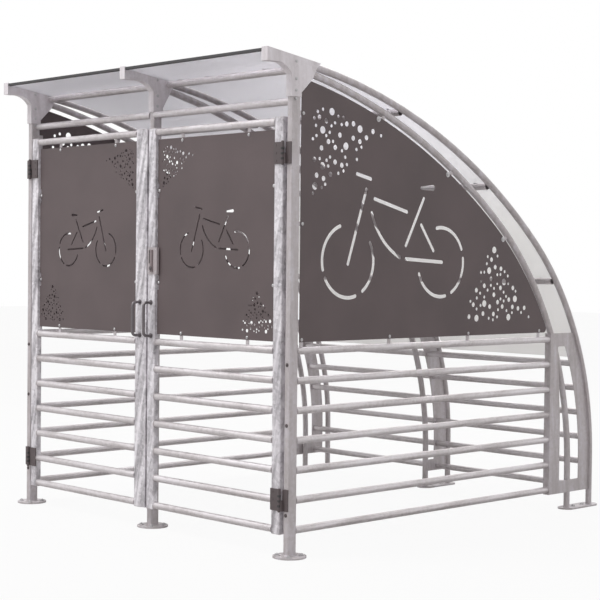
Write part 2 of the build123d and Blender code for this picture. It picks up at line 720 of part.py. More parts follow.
def door_hinges(side):
    """Door halves of the two hinges, each a leaf with the upper knuckle."""
    x, _ = hinge_axis(side)
    y = DOOR_FRONT_Y - HINGE_T / 2
    notch_w = HINGE_PIN_D + 2 * KNUCKLE_NOTCH
    parts = []
    for z in HINGE_ZS:
        leaf = Pos(x - side * HINGE_LEAF_W / 2, y, z) * Box(HINGE_LEAF_W, HINGE_T, HINGE_H)
        notch = Pos(x, y, z - HINGE_H / 4) * Box(notch_w, 2 * HINGE_T, HINGE_H / 2)
        parts.append(leaf - notch + knuckle(side, z, z + HINGE_H / 2))
    return parts


def post_hinges(side):
    """Post halves of the two hinges, each a leaf on the post with the lower knuckle."""
    x, y = hinge_axis(side)
    near = side * (BAY - POST_W / 2)
    parts = []
    for z in HINGE_ZS:
        low = z - HINGE_H / 2
        high = z - KNUCKLE_GAP
        middle = (low + high) / 2
        leaf = Pos(side * BAY, -HINGE_T / 2, z) * Box(POST_W, HINGE_T, HINGE_H)
        arm = Pos((x + near) / 2, y + HINGE_T / 2, middle) * Box(abs(near - x), HINGE_T, high - low)
        web = Pos(near + side * HINGE_T / 2, y / 2, middle) * Box(HINGE_T, -y, high - low)
        parts.append(leaf + arm + web + knuckle(side, low, high))
    return parts


def save(name, shape):
    """Write one node's solids."""
    shapes = shape if isinstance(shape, list) else [shape]
    solids = [solid for item in shapes for solid in item.solids()]
    export_step(solids[0] if len(solids) == 1 else Compound(solids), f"parts/{name}.step")


def build():
    """Make and write every node of the shelter."""
    for name, frame_x in zip(("left", "middle", "right"), FRAMES):
        save(f"{name}_front_post", front_post(frame_x))
        save(f"{name}_head_gusset", head_gusset(frame_x))
        save(f"{name}_outer_arch_tube", arch_tube(OUTER, frame_x))
        save(f"{name}_inner_arch_tube", arch_tube(INNER, frame_x))
    save("front_foot_plates", [front_foot(x) for x in FRAMES])
    save("rear_foot_plates", [rear_foot(x) for x in FRAMES])
    save("middle_leg_plate", middle_leg_plate())
    save("purlins", purlins())
    save("front_transom", front_transom())
    save("rear_rails", rear_rails())
    for name, sheet in zip(("left", "right"), roof_sheets()):
        save(f"{name}_roof_sheet", sheet)
    save("roof_edge_trim", roof_edge_trim())
    for name, side in (("left", -1), ("right", 1)):
        save(f"{name}_leg_plate", side_leg_plate(side))
        save(f"{name}_side_rails", side_rails(side))
        save(f"{name}_side_panel", side_panel(side))
        save(f"{name}_door_stiles", door_stiles(side))
        save(f"{name}_door_rails", door_rails(side))
        save(f"{name}_door_panel", door_panel(side))
        save(f"{name}_door_handle", door_handle(side))
        save(f"{name}_door_hinge_leaves", door_hinges(side))
        save(f"{name}_post_hinge_leaves", post_hinges(side))
        save(f"{name}_door_panel_tabs", door_panel_tabs(side))
    save("side_panel_tabs", side_panel_tabs())
    save("door_cover_strip", cover_strip())
    save("door_lock_case", lock_case())


build()
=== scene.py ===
"""Bicycle shelter dressed for rendering: galvanised tubes, dark cut-out panels, frosted roof.

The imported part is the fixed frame. Everything added here is hardware and finish:
screws, bolts, weld beads, caps, hinge collars, the lock's front and the fully pierced panels.
Metres, X to the right, Y from the doors to the back, Z up.
"""
import json
import logging
import math
from dataclasses import dataclass
from enum import Enum
from typing import Any, Callable, Iterable, Optional, Sequence

import bmesh
import bpy
from mathutils import Matrix, Vector


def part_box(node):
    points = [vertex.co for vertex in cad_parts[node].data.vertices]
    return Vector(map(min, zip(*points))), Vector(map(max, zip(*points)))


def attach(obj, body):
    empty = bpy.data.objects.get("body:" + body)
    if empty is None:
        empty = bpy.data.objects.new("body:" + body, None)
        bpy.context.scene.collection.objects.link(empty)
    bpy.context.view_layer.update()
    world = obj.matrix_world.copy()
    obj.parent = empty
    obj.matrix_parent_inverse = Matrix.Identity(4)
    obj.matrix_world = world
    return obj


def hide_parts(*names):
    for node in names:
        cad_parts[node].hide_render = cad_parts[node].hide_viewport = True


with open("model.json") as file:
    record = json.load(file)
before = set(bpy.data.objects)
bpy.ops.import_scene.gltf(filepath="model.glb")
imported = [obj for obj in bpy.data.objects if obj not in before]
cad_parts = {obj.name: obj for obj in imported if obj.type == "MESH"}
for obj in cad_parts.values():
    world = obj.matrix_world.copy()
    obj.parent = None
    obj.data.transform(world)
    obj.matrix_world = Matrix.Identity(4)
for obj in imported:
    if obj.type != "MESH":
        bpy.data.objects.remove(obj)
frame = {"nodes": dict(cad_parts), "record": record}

Piece = bpy.types.Object
Socket = bpy.types.NodeSocket
Material = bpy.types.Material
Pair = tuple[float, float]
Point = tuple[float, float, float]
Colour = tuple[float, float, float]
Face = bmesh.types.BMFace

LOG = logging.getLogger("bicycle_shelter")
# Faces that meet at less than this many degrees are shaded as one curve.
SMOOTH_BELOW = 35.0
# A face looks along an axis when its normal's share of that axis is above this.
FACING = 0.9
WHITE = (1.0, 1.0, 1.0, 1.0)


class Side(Enum):
    """Left or right half of the shelter."""

    LEFT = -1
    RIGHT = 1

    @property
    def word(self) -> str:
        """Name used in the node names."""
        return self.name.lower()

    @property
    def door(self) -> str:
        """Body of this side's door."""
        return f"{self.word}_door"


class Finish(Enum):
    """Slots of the record that the imported nodes take their finish from."""

    STEEL = "galvanised_steel"
    PANEL = "dark_panel"
    ROOF = "roof_sheet"
    HINGE = "hinge_steel"
    HANDLE = "handle_steel"
    LOCK = "lock_cover"
    PLASTIC = "dark_plastic"


@dataclass(frozen=True)
class Layout:
    """Main sizes of the shelter that the fittings are placed by."""

    bay: float = 1.0
    post_w: float = 0.032
    post_d: float = 0.050
    middle_setback: float = 0.028
    foot_t: float = 0.008
    rail_pitch: float = 0.1315
    rail_low_z: float = 0.117
    rail_count: int = 7
    panel_x: float = 0.008
    panel_t: float = 0.002
    door_front_y: float = -0.008
    stile_w: float = 0.054
    stile_d: float = 0.030
    door_top_rail_z: float = 1.912

    @property
    def rail_zs(self) -> list[float]:
        """Heights of the wall and door rails."""
        return [self.rail_low_z + self.rail_pitch * i for i in range(self.rail_count)]

    @property
    def frames(self) -> Point:
        """X of the three frames."""
        return (-self.bay, 0.0, self.bay)

    @property
    def stile_y(self) -> float:
        """Depth of the door stiles' centre lines."""
        return self.door_front_y + self.stile_d / 2

    def setback(self, x: float) -> float:
        """How far the frame at an X stands behind the front line; only the middle one does."""
        return self.middle_setback if x == 0 else 0.0


LAYOUT = Layout()


@dataclass(frozen=True)
class ArchLine:
    """Centre line of a bent tube: a roof arc and a tangent leg arc in the YZ plane.

    It starts at a point with a slope, and its radius changes at the slope where the arcs meet,
    with slopes in degrees below the horizontal.
    """

    start: Pair
    slope: float
    roof_r: float
    meet: float
    leg_r: float

    def point(self, angle: float, out: float = 0.0) -> Pair:
        """Depth and height where the tube slopes down by an angle.

        Args:
            angle: slope in degrees below the horizontal.
            out: offset outward from the centre line.

        Returns:
            Y and Z.
        """
        turn, low = math.radians(angle), math.radians(min(angle, self.meet))
        first, meet = math.radians(self.slope), math.radians(self.meet)
        y = self.start[0] + self.roof_r * (math.sin(low) - math.sin(first))
        z = self.start[1] + self.roof_r * (math.cos(low) - math.cos(first))
        if angle > self.meet:
            y += self.leg_r * (math.sin(turn) - math.sin(meet))
            z += self.leg_r * (math.cos(turn) - math.cos(meet))
        return y + out * math.sin(turn), z + out * math.cos(turn)

    def slope_at(self, height: float, out: float = 0.0) -> float:
        """Slope where the offset line passes a height, found by halving.

        Args:
            height: Z.
            out: offset outward from the centre line.

        Returns:
            The angle in degrees.
        """
        low, high = self.slope, 90.0
        for _ in range(40):
            middle = (low + high) / 2
            if self.point(middle, out)[1] > height:
                low = middle
            else:
                high = middle
        return low


OUTER = ArchLine(start=(0.120, 2.160), slope=7.8, roof_r=3.085, meet=41.3, leg_r=1.523)
INNER = ArchLine(start=(0.120, 2.126), slope=11.5, roof_r=3.115, meet=38.5, leg_r=1.640)


def deselect() -> None:
    """Clear the selection and leave edit mode."""
    if bpy.context.object is not None and bpy.context.object.mode != "OBJECT":
        bpy.ops.object.mode_set(mode="OBJECT")
    bpy.ops.object.select_all(action="DESELECT")


def activate(piece: Piece) -> None:
    """Select one object alone and make it active.

    Args:
        piece: object to select.
    """
    deselect()
    piece.select_set(True)
    bpy.context.view_layer.objects.active = piece


def pick_faces(piece: Piece, wanted: Callable[[Face], bool]) -> None:
    """Enter edit mode with only the faces that pass a test selected.

    Args:
        piece: mesh object.
        wanted: test on a face's place or normal.
    """
    activate(piece)
    bpy.ops.object.mode_set(mode="EDIT")
    bpy.ops.mesh.select_mode(type="FACE")
    bpy.ops.mesh.select_all(action="DESELECT")
    mesh = bmesh.from_edit_mesh(piece.data)
    for face in mesh.faces:
        face.select_set(wanted(face))
    bmesh.update_edit_mesh(piece.data)


def faces_up(face: Face) -> bool:
    """Whether a face looks up."""
    return face.normal.z > FACING


def faces_front(face: Face) -> bool:
    """Whether a face looks to the front."""
    return face.normal.y < -FACING


def step_in(inset: float, rise: float) -> None:
    """Inset the selected faces and lift the inner ones, which leaves a sloped rim."""
    bpy.ops.mesh.inset(thickness=inset)
    bpy.ops.transform.translate(value=(0, 0, rise))


def extrude(by: Sequence[float]) -> None:
    """Extrude the selected faces along a vector."""
    bpy.ops.mesh.extrude_region_move(TRANSFORM_OT_translate={"value": by})


def round_all(offset: float, segments: int = 2) -> None:
    """Bevel every edge of the mesh in edit mode."""
    bpy.ops.mesh.select_all(action="SELECT")
    bpy.ops.mesh.bevel(offset=offset, segments=segments)


def settle(piece: Piece) -> Piece:
    """Leave edit mode and put the object's place into its mesh.

    Args:
        piece: mesh object.

    Returns:
        The same object, at the origin, unturned and unscaled.
    """
    activate(piece)
    bpy.ops.object.transform_apply(location=True, rotation=True, scale=True)
    return piece


def cylinder(sides: int, radius: float, depth: float, foot: float = 0.0) -> Piece:
    """Add an upright cylinder about the Z axis.

    Args:
        sides: number of sides.
        radius: radius.
        depth: height.
        foot: Z of its lower face.

    Returns:
        The mesh object, not settled yet.
    """
    deselect()
    bpy.ops.mesh.primitive_cylinder_add(vertices=sides, radius=radius, depth=depth,
                                        location=(0, 0, foot + depth / 2))
    return bpy.context.object


def block(at: Sequence[float], size: Sequence[float]) -> Piece:
    """Add a box.

    Args:
        at: centre.
        size: length along each axis.

    Returns:
        The mesh object, settled.
    """
    deselect()
    bpy.ops.mesh.primitive_cube_add(size=1, location=at, scale=size)
    return settle(bpy.context.object)


def join(pieces: Sequence[Piece], name: str) -> Piece:
    """Join objects into one named piece.

    Args:
        pieces: mesh objects.
        name: name of the result.

    Returns:
        The joined object.
    """
    activate(pieces[0])
    for piece in pieces[1:]:
        piece.select_set(True)
    if len(pieces) > 1:
        bpy.ops.object.join()
    result = bpy.context.view_layer.objects.active
    result.name = name
    result.data.name = name
    return settle(result)


def place(at: Sequence[float], normal: Sequence[float] = (0, 0, 1), turn: float = 0.0) -> Matrix:
    """Matrix that puts a master modelled along +Z at a point, facing a direction.

    Args:
        at: point in metres.
        normal: direction that +Z goes to.
        turn: turn about +Z first, in degrees.

    Returns:
        The matrix.
    """
    facing = Vector(normal).to_track_quat("Z", "Y").to_matrix().to_4x4()
    return Matrix.Translation(Vector(at)) @ facing @ Matrix.Rotation(math.radians(turn), 4, "Z")


def upside_down(at: Sequence[float]) -> Matrix:
    """Matrix that hangs a master modelled along +Z from a point."""
    return Matrix.Translation(at) @ Matrix.Rotation(math.pi, 4, "X")


class Nodes:
    """Short notation for building node trees."""

    def __init__(self, tree: bpy.types.NodeTree, output: str) -> None:
        """Clear a tree and start it with an output and coordinates.

        Args:
            tree: node tree to fill.
            output: type of its output node.
        """
        self.tree = tree
        self.tree.nodes.clear()
        self.output = self.tree.nodes.new(output)
        self.coords = self.tree.nodes.new("ShaderNodeTexCoord")

    def add(self, kind: str, **inputs: Any) -> bpy.types.Node:
        """Add a node and set its inputs or properties by name.

        Args:
            kind: node type.
            inputs: sockets (with _ for a space) or node properties.

        Returns:
            The node.
        """
        node = self.tree.nodes.new(kind)
        for key, value in inputs.items():
            label = key.replace("_", " ")
            if label in node.inputs:
                self.put(node.inputs[label], value)
            else:
                setattr(node, key, value)
        return node

    def put(self, socket: Socket, value: Any) -> None:
        """Link a socket to another one, or set its value.

        Args:
            socket: input socket.
            value: output socket, number or tuple.
        """
        if isinstance(value, Socket):
            self.tree.links.new(value, socket)
        else:
            socket.default_value = value

    def mapped(self, scale: Point, turn: Point = (0, 0, 0), kind: str = "POINT") -> Socket:
        """Object coordinates turned and scaled.

        Args:
            scale: cells per metre along each axis, or feature sizes in metres for the kind TEXTURE.
            turn: rotation in radians.
            kind: kind of mapping.

        Returns:
            The vector output.
        """
        return self.add("ShaderNodeMapping", vector_type=kind, Rotation=turn, Scale=scale,
                        Vector=self.coords.outputs["Object"]).outputs["Vector"]

    def noise(self, scale: float, detail: float, vector: Optional[Socket] = None) -> Socket:
        """Noise of a scale and a number of octaves, on Object coordinates unless others are given."""
        source = vector if vector is not None else self.coords.outputs["Object"]
        return self.add("ShaderNodeTexNoise", Vector=source, Scale=scale, Detail=detail).outputs["Fac"]

    def cells(self, scale: float) -> bpy.types.Node:
        """Voronoi cells on Object coordinates, so many per metre."""
        return self.add("ShaderNodeTexVoronoi", Vector=self.coords.outputs["Object"], Scale=scale)

    def ramp(self, value: Socket, stops: Sequence[tuple[float, Colour]]) -> Socket:
        """Colour ramp.

        Args:
            value: factor.
            stops: position and colour of each stop.

        Returns:
            The colour output.
        """
        node = self.add("ShaderNodeValToRGB", Fac=value)
        elements = node.color_ramp.elements
        while len(elements) < len(stops):
            elements.new(0.5)
        for element, (position, colour) in zip(elements, stops):
            element.position = position
            element.color = (*colour, 1.0)
        return node.outputs["Color"]

    def span(self, value: Socket, low: float, high: float) -> Socket:
        """Value from 0..1 spread over a range."""
        return self.add("ShaderNodeMapRange", Value=value, To_Min=low, To_Max=high).outputs["Result"]

    def blend(self, factor: Any, first: Any, second: Any, mode: str = "MIX") -> Socket:
        """Mix two colours.

        Args:
            factor: amount of the second.
            first: colour socket or value.
            second: colour socket or value.
            mode: blend type.

        Returns:
            The colour output.
        """
        node = self.add("ShaderNodeMix", data_type="RGBA", blend_type=mode)
        self.put(node.inputs[0], factor)
        for socket, value in ((node.inputs[6], first), (node.inputs[7], second)):
            self.put(socket, (*value, 1.0) if isinstance(value, tuple) else value)
        return node.outputs[2]

    def mix(self, factor: Socket, first: bpy.types.Node, second: bpy.types.Node) -> bpy.types.Node:
        """Mix two shaders.

        Args:
            factor: amount of the second.
            first: shader node.
            second: shader node.

        Returns:
            The mixing node.
        """
        node = self.add("ShaderNodeMixShader")
        for socket, value in zip(node.inputs, (factor, first.outputs[0], second.outputs[0])):
            self.put(socket, value)
        return node

    def close(self, shader: bpy.types.Node) -> None:
        """Link a shader to the tree's output."""
        self.put(self.output.inputs["Surface"], shader.outputs[0])


class Surface(Nodes):
    """Node tree of a new material."""

    def __init__(self, name: str) -> None:
        """Start an empty material.

        Args:
            name: material name.
        """
        self.material = bpy.data.materials.new(name)
        self.material.use_nodes = True
        super().__init__(self.material.node_tree, "ShaderNodeOutputMaterial")

    def bump(self, height: Socket, depth: float, strength: float) -> Socket:
        """Normal of a height factor, with its depth in metres and its strength."""
        node = self.add("ShaderNodeBump", Height=height, Distance=depth, Strength=strength)
        return node.outputs["Normal"]

    def finish(self, **inputs: Any) -> Material:
        """Close the tree with a Principled shader that has these inputs."""
        self.close(self.add("ShaderNodeBsdfPrincipled", **inputs))
        return self.material


@dataclass(frozen=True)
class GalvanisedSteel:
    """Hot-dip galvanised steel: grey spangles, cloudy patches and drag streaks."""

    name: str = "galvanised_steel"
    dark: Colour = (0.44, 0.408, 0.412)
    light: Colour = (0.53, 0.492, 0.502)
    bright: Colour = (0.63, 0.60, 0.635)
    cloud: Colour = (0.45, 0.412, 0.412)
    spangle: float = 70.0
    spangle_share: float = 0.16
    stops: Point = (0.36, 0.56, 0.78)
    streak_size: Point = (0.035, 0.035, 0.30)
    streak_turn: Point = (0.10, 0.06, 0.0)
    streak_share: float = 0.35
    cloud_share: float = 0.7
    metallic: float = 0.28
    smoothest: float = 0.38
    roughest: float = 0.56

    def build(self) -> Material:
        """Return the material."""
        n = Surface(self.name)
        cells = n.cells(self.spangle).outputs["Color"]
        flake = n.add("ShaderNodeSeparateColor", Color=cells).outputs["Red"]
        clouds = n.noise(6.0, 5.0)
        streaks = n.noise(1.0, 4.0, n.mapped(self.streak_size, self.streak_turn, "TEXTURE"))
        tone = n.add("ShaderNodeMath", operation="MULTIPLY_ADD")
        for socket, value in zip(tone.inputs, (flake, self.spangle_share, streaks)):
            n.put(socket, value)
        base = n.ramp(tone.outputs[0], list(zip(self.stops, (self.dark, self.light, self.bright))))
        base = n.blend(n.span(clouds, 0.0, self.cloud_share - self.streak_share), base, self.cloud)
        return n.finish(Base_Color=base, Metallic=self.metallic,
                        Roughness=n.span(flake, self.smoothest, self.roughest),
                        Normal=n.bump(n.noise(260.0, 3.0), 0.0004, 0.25))


@dataclass(frozen=True)
class PowderCoat:
    """Matt powder coat with a fine orange-peel surface."""

    name: str
    colour: Colour
    rough: float = 0.55
    patchiness: float = 0.12

    def build(self) -> Material:
        """Return the material."""
        n = Surface(self.name)
        clouds = n.noise(3.0, 4.0)
        grain = n.noise(900.0, 2.0)
        deep = tuple(c * (1 - self.patchiness) for c in self.colour)
        pale = tuple(min(1.0, c * (1 + self.patchiness)) for c in self.colour)
        base = n.ramp(clouds, [(0.3, deep), (0.7, pale)])
        speck = n.ramp(grain, [(0.35, (0.93, 0.93, 0.93)), (0.65, (1.05, 1.05, 1.05))])
        base = n.blend(1.0, base, speck, "MULTIPLY")
        return n.finish(Base_Color=base, Roughness=n.span(clouds, self.rough - 0.05, self.rough + 0.07),
                        Normal=n.bump(grain, 0.00015, 0.35))


@dataclass(frozen=True)
class FrostedSheet:
    """Frosted translucent plastic with fine flutes down the slope, with painted shade that makes it
    greyer higher up, under the canopy.
    """

    name: str = "frosted_sheet"
    # Pale lit tone low on the sheet, greyer painted-shade tone higher up, and the heights where the
    # painted shade starts and is full.
    lit_low_colour: Colour = (0.97, 0.955, 0.945)
    shaded_high_colour: Colour = (0.865, 0.845, 0.895)
    shade_start_z: float = 1.5
    shade_full_z: float = 2.05
    flutes: float = 32.0
    transmission: float = 0.98
    ior: float = 1.5

    def build(self) -> Material:
        """Return the material."""
        n = Surface(self.name)
        dirt = n.noise(4.0, 5.0)
        # Painted shade: the colour goes from the pale lit tone low on the sheet to a greyer, lavender
        # shaded tone higher up, under the canopy.
        height = n.add("ShaderNodeSeparateXYZ", Vector=n.coords.outputs["Object"]).outputs["Z"]
        rise = n.add("ShaderNodeMapRange", Value=height, From_Min=self.shade_start_z, From_Max=self.shade_full_z)
        base = n.blend(rise.outputs["Result"], self.lit_low_colour, self.shaded_high_colour)
        film = n.ramp(dirt, [(0.3, (0.95, 0.95, 0.95)), (0.7, (1.0, 1.0, 1.0))])
        base = n.blend(1.0, base, film, "MULTIPLY")
        flutes = n.add("ShaderNodeTexWave", Vector=n.mapped((1.0, 0.0, 0.0)), Scale=self.flutes)
        return n.finish(Base_Color=base, Roughness=n.span(dirt, 0.30, 0.42), IOR=self.ior,
                        Transmission_Weight=self.transmission,
                        Normal=n.bump(flutes.outputs["Fac"], 0.0006, 0.12))


@dataclass(frozen=True)
class BrightSteel:
    """Plain zinc-plated or brushed steel for handles and screws."""

    name: str
    colour: Colour
    rough: float = 0.3
    metallic: float = 0.9

    def build(self) -> Material:
        """Return the material."""
        n = Surface(self.name)
        rub = n.noise(90.0, 4.0, n.mapped((1.0, 1.0, 0.08)))
        base = n.ramp(rub, [(0.3, tuple(c * 0.8 for c in self.colour)), (0.7, self.colour)])
        return n.finish(Base_Color=base, Metallic=self.metallic,
                        Roughness=n.span(rub, self.rough - 0.06, self.rough + 0.1),
                        Normal=n.bump(rub, 0.0001, 0.2))


@dataclass(frozen=True)
class Rubber:
    """Black moulded plastic or rubber."""

    name: str
    colour: Colour = (0.05, 0.048, 0.05)

    def build(self) -> Material:
        """Return the material."""
        n = Surface(self.name)
        grain = n.noise(500.0, 3.0)
        base = n.ramp(grain, [(0.3, tuple(c * 0.7 for c in self.colour)), (0.7, self.colour)])
        return n.finish(Base_Color=base, Roughness=n.span(grain, 0.5, 0.7),
                        Normal=n.bump(grain, 0.0002, 0.3))


class Palette:
    """All finishes, built once."""

    def __init__(self) -> None:
        """Build the materials."""
        self.steel = GalvanisedSteel().build()
        self.streaked = GalvanisedSteel(
            "streaked_steel", dark=(0.32, 0.305, 0.325), light=(0.60, 0.575, 0.605),
            bright=(0.88, 0.855, 0.89), streak_size=(0.026, 0.050, 0.30), streak_turn=(0.0, 0.22, 0.0),
            streak_share=0.68).build()
        # Brighter, shinier copy of the galvanised steel for the round rails, purlins and transom: its
        # lighter base colour is painted highlight, and its streaks running along the tubes are their own
        # pattern.
        self.rail = GalvanisedSteel(
            "rail_painted_highlight_steel", dark=(0.52, 0.485, 0.49), light=(0.66, 0.625, 0.635), bright=(0.76, 0.73, 0.75),
            cloud=(0.60, 0.56, 0.565), streak_size=(0.40, 0.40, 0.03), streak_share=0.55,
            metallic=0.72).build()
        # Lighter copy of the galvanised steel for the head gussets: its lighter colours are painted light
        # on cheeks that sit in the canopy's shade, and its weaker streaks are the gussets' smoother
        # finish.
        self.pale = GalvanisedSteel(
            "gusset_painted_light_steel", dark=(0.60, 0.562, 0.580), light=(0.70, 0.660, 0.685),
            bright=(0.80, 0.765, 0.80), cloud=(0.62, 0.580, 0.595), streak_share=0.30).build()
        self.panel = PowderCoat("anthracite_coat", (0.112, 0.086, 0.088)).build()
        self.roof = FrostedSheet().build()
        self.hinge = PowderCoat("hinge_coat", (0.100, 0.080, 0.082), 0.46).build()
        self.handle = BrightSteel("brushed_handle", (0.21, 0.190, 0.200), 0.34, 0.6).build()
        self.lock = PowderCoat("lock_coat", (0.43, 0.385, 0.395), 0.38).build()
        self.lock_body = PowderCoat("lock_body_coat", (0.235, 0.190, 0.195), 0.36).build()
        self.screw = BrightSteel("zinc_screw", (0.62, 0.61, 0.62), 0.35, 0.8).build()
        self.dark = Rubber("black_plastic").build()

    def for_slot(self, slot: str) -> Material:
        """Material of one of the record's slots.

        Args:
            slot: slot name.

        Returns:
            The material.
        """
        table = {
            Finish.STEEL: self.steel, Finish.PANEL: self.panel, Finish.ROOF: self.roof,
            Finish.HINGE: self.hinge, Finish.HANDLE: self.handle, Finish.LOCK: self.lock,
            Finish.PLASTIC: self.dark,
        }
        return table[Finish(slot)]


def dress(piece: Piece, material: Material, body: str) -> None:
    """Give a new piece its material and body, and report it.

    Args:
        piece: mesh object.
        material: material.
        body: CAD body that it moves with.
    """
    piece.data.materials.clear()
    piece.data.materials.append(material)
    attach(piece, body)
    LOG.info("%s: %d faces on %s", piece.name, len(piece.data.polygons), body)


def fit(master: Piece, places: Iterable[Matrix], name: str, material: Material,
        body: str = "shelter") -> None:
    """Copy a master to its places, join the copies into one piece and dress it.

    Args:
        master: mesh object modelled at the origin; it is used up.
        places: one matrix for each copy.
        name: name of the piece.
        material: material.
        body: CAD body that it moves with.
    """
    activate(master)
    bpy.ops.object.shade_smooth_by_angle(angle=math.radians(SMOOTH_BELOW))
    made = []
    for where in places:
        piece = master.copy()
        piece.data = master.data.copy()
        piece.data.transform(where)
        bpy.context.scene.collection.objects.link(piece)
        made.append(piece)
    bpy.data.objects.remove(master)
    dress(join(made, name), material, body)


@dataclass
class CadFrame:
    """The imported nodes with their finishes."""

    palette: Palette
    streaked_ends: tuple[str, ...] = ("door_stiles", "cover_strip")
    # Rails, purlins and transom take the brighter copy of the steel, with painted highlight.
    rail_highlight_ends: tuple[str, ...] = ("_rails", "purlins", "transom")
    # The head gussets take the lighter copy of the steel, with painted light.
    painted_light_ends: tuple[str, ...] = ("head_gusset",)

    def build(self) -> None:
        """Assign a finish to every node's material slots."""
        slots = {part["node"]: part["material_slot"] for part in frame["record"]["subparts"]}
        special = ((self.streaked_ends, self.palette.streaked), (self.rail_highlight_ends, self.palette.rail),
                   (self.painted_light_ends, self.palette.pale))
        for name, node in frame["nodes"].items():
            material = self.palette.for_slot(slots[name])
            for ends, finish in special:
                if name.endswith(ends):
                    material = finish
            if not node.data.materials:
                node.data.materials.append(material)
            for index in range(len(node.data.materials)):
                node.data.materials[index] = material
        LOG.info("finishes on %d nodes", len(slots))


@dataclass(frozen=True)
class ScrewHead:
    """Domed screw head with a socket, on a washer; +Z points away from the seat."""

    washer_r: float
    washer_t: float
    head_r: float
    head_h: float
    socket_r: float
    sides: int = 16
    wall_share: float = 0.55
    dome_share: float = 0.3
    socket_share: float = 0.5

    def master(self) -> Piece:
        """Model one screw at the origin.

        Returns:
            The mesh object.
        """
        piece = cylinder(self.sides, self.washer_r, self.washer_t)
        pick_faces(piece, faces_up)
        bpy.ops.mesh.inset(thickness=self.washer_r - self.head_r)
        extrude((0, 0, self.head_h * self.wall_share))
        step_in(self.head_r * self.dome_share, self.head_h * (1 - self.wall_share))
        bpy.ops.mesh.inset(thickness=self.head_r * (1 - self.dome_share) - self.socket_r)
        extrude((0, 0, -self.head_h * self.socket_share))
        return settle(piece)


@dataclass(frozen=True)
class AnchorBolt:
    """Hexagon nut with its stud and washer; +Z points away from the seat."""

    across: float = 0.017
    nut_h: float = 0.0055
    washer_r: float = 0.013
    washer_t: float = 0.002
    stud_r: float = 0.005
    stud_h: float = 0.0020
    washer_rim: float = 0.0006
    washer_rise: float = 0.0004
    chamfer_share: float = 0.12
    crown: float = 0.0008
    stud_rim: float = 0.001

    def master(self) -> Piece:
        """Model one bolt at the origin.

        Returns:
            The mesh object.
        """
        washer = cylinder(24, self.washer_r, self.washer_t)
        pick_faces(washer, faces_up)
        step_in(self.washer_rim, self.washer_rise)
        radius = self.across / math.sqrt(3)
        nut = cylinder(6, radius, self.nut_h, self.washer_t)
        pick_faces(nut, faces_up)
        step_in(radius * self.chamfer_share, self.crown)
        bpy.ops.mesh.inset(thickness=radius * (1 - self.chamfer_share) - self.stud_r)
        extrude((0, 0, self.stud_h))
        step_in(self.stud_rim, self.crown)
        return join([washer, nut], "anchor_bolt")


@dataclass(frozen=True)
class WeldBead:
    """Weld seam around a round tube's end; +Z points along the tube."""

    radius: float
    bead: float = 0.0024
    ripple_size: float = 0.006
    ripple_share: float = 0.7

    def master(self) -> Piece:
        """Model one rippled ring at the origin.

        Returns:
            The mesh object.
        """
        deselect()
        bpy.ops.mesh.primitive_torus_add(major_radius=self.radius, minor_radius=self.bead,
                                         major_segments=28, minor_segments=6)
        piece = bpy.context.object
        ripple = bpy.data.textures.new("ripple", "CLOUDS")
        ripple.noise_scale = self.ripple_size
        modifier = piece.modifiers.new("ripple", "DISPLACE")
        modifier.texture = ripple
        modifier.strength = self.bead * self.ripple_share
        bpy.ops.object.modifier_apply(modifier=modifier.name)
        return settle(piece)


@dataclass(frozen=True)
class FootSeam:
    """Weld fillet around a rectangular post where it stands on its plate."""

    width: float
    depth: float
    leg: float = 0.004
    reveal: float = 0.001
    rounding: float = 0.0016

    def master(self) -> Piece:
        """Model one fillet at the origin, its seat at Z = 0.

        Returns:
            The mesh object.
        """
        size = (self.width + 2 * self.leg, self.depth + 2 * self.leg)
        piece = block((0, 0, self.leg / 2), (*size, self.leg))
        pick_faces(piece, faces_up)
        top = ((self.width + self.reveal) / size[0], (self.depth + self.reveal) / size[1], 1.0)
        bpy.ops.transform.resize(value=top)
        round_all(self.rounding)
        return settle(piece)


@dataclass(frozen=True)
class StileCap:
    """Cover plate on the open end of a rectangular tube; +Z points out of the tube."""

    width: float
    depth: float
    thickness: float = 0.0025
    rim: float = 0.002
    crown: float = 0.0009
    rounding: float = 0.0006

    def master(self) -> Piece:
        """Model one crowned plate at the origin.

        Returns:
            The mesh object.
        """
        piece = block((0, 0, self.thickness / 2), (self.width, self.depth, self.thickness))
        pick_faces(piece, faces_up)
        step_in(self.rim, self.crown)
        round_all(self.rounding)
        return settle(piece)


def halton(index: int, base: int) -> float:
    """Evenly spread number between 0 and 1.

    Args:
        index: place in the sequence.
        base: prime base.

    Returns:
        The number.
    """
    result, share = 0.0, 1.0
    while index > 0:
        share /= base
        result += share * (index % base)
        index //= base
    return result


@dataclass(frozen=True)
class BubbleField:
    """Round holes in two small sizes, spread over a triangle between the large ones."""

    corners: tuple[Pair, Pair, Pair]
    large: tuple[Pair, ...]
    medium_count: int
    small_count: int
    large_r: float = 0.017
    medium_r: float = 0.0120
    small_r: float = 0.0080
    spacing: float = 0.007
    tries: int = 1500

    def holes(self) -> list[Point]:
        """Place the holes one after the other where they keep their distance.

        Returns:
            Two coordinates and the radius of each new hole.
        """
        (u0, v0), (u1, v1), (u2, v2) = self.corners
        kept = [(u, v, self.large_r) for u, v in self.large]
        for radius, wanted in ((self.medium_r, self.medium_count), (self.small_r, self.small_count)):
            goal = len(kept) + wanted
            for index in range(1, self.tries):
                a, b = halton(index, 2), halton(index, 3)
                if a + b > 1:
                    a, b = 1 - a, 1 - b
                u, v = u0 + a * (u1 - u0) + b * (u2 - u0), v0 + a * (v1 - v0) + b * (v2 - v0)
                if all(math.hypot(u - x, v - y) >= radius + r + self.spacing for x, y, r in kept):
                    kept.append((u, v, radius))
                if len(kept) == goal:
                    break
        return kept[len(self.large):]


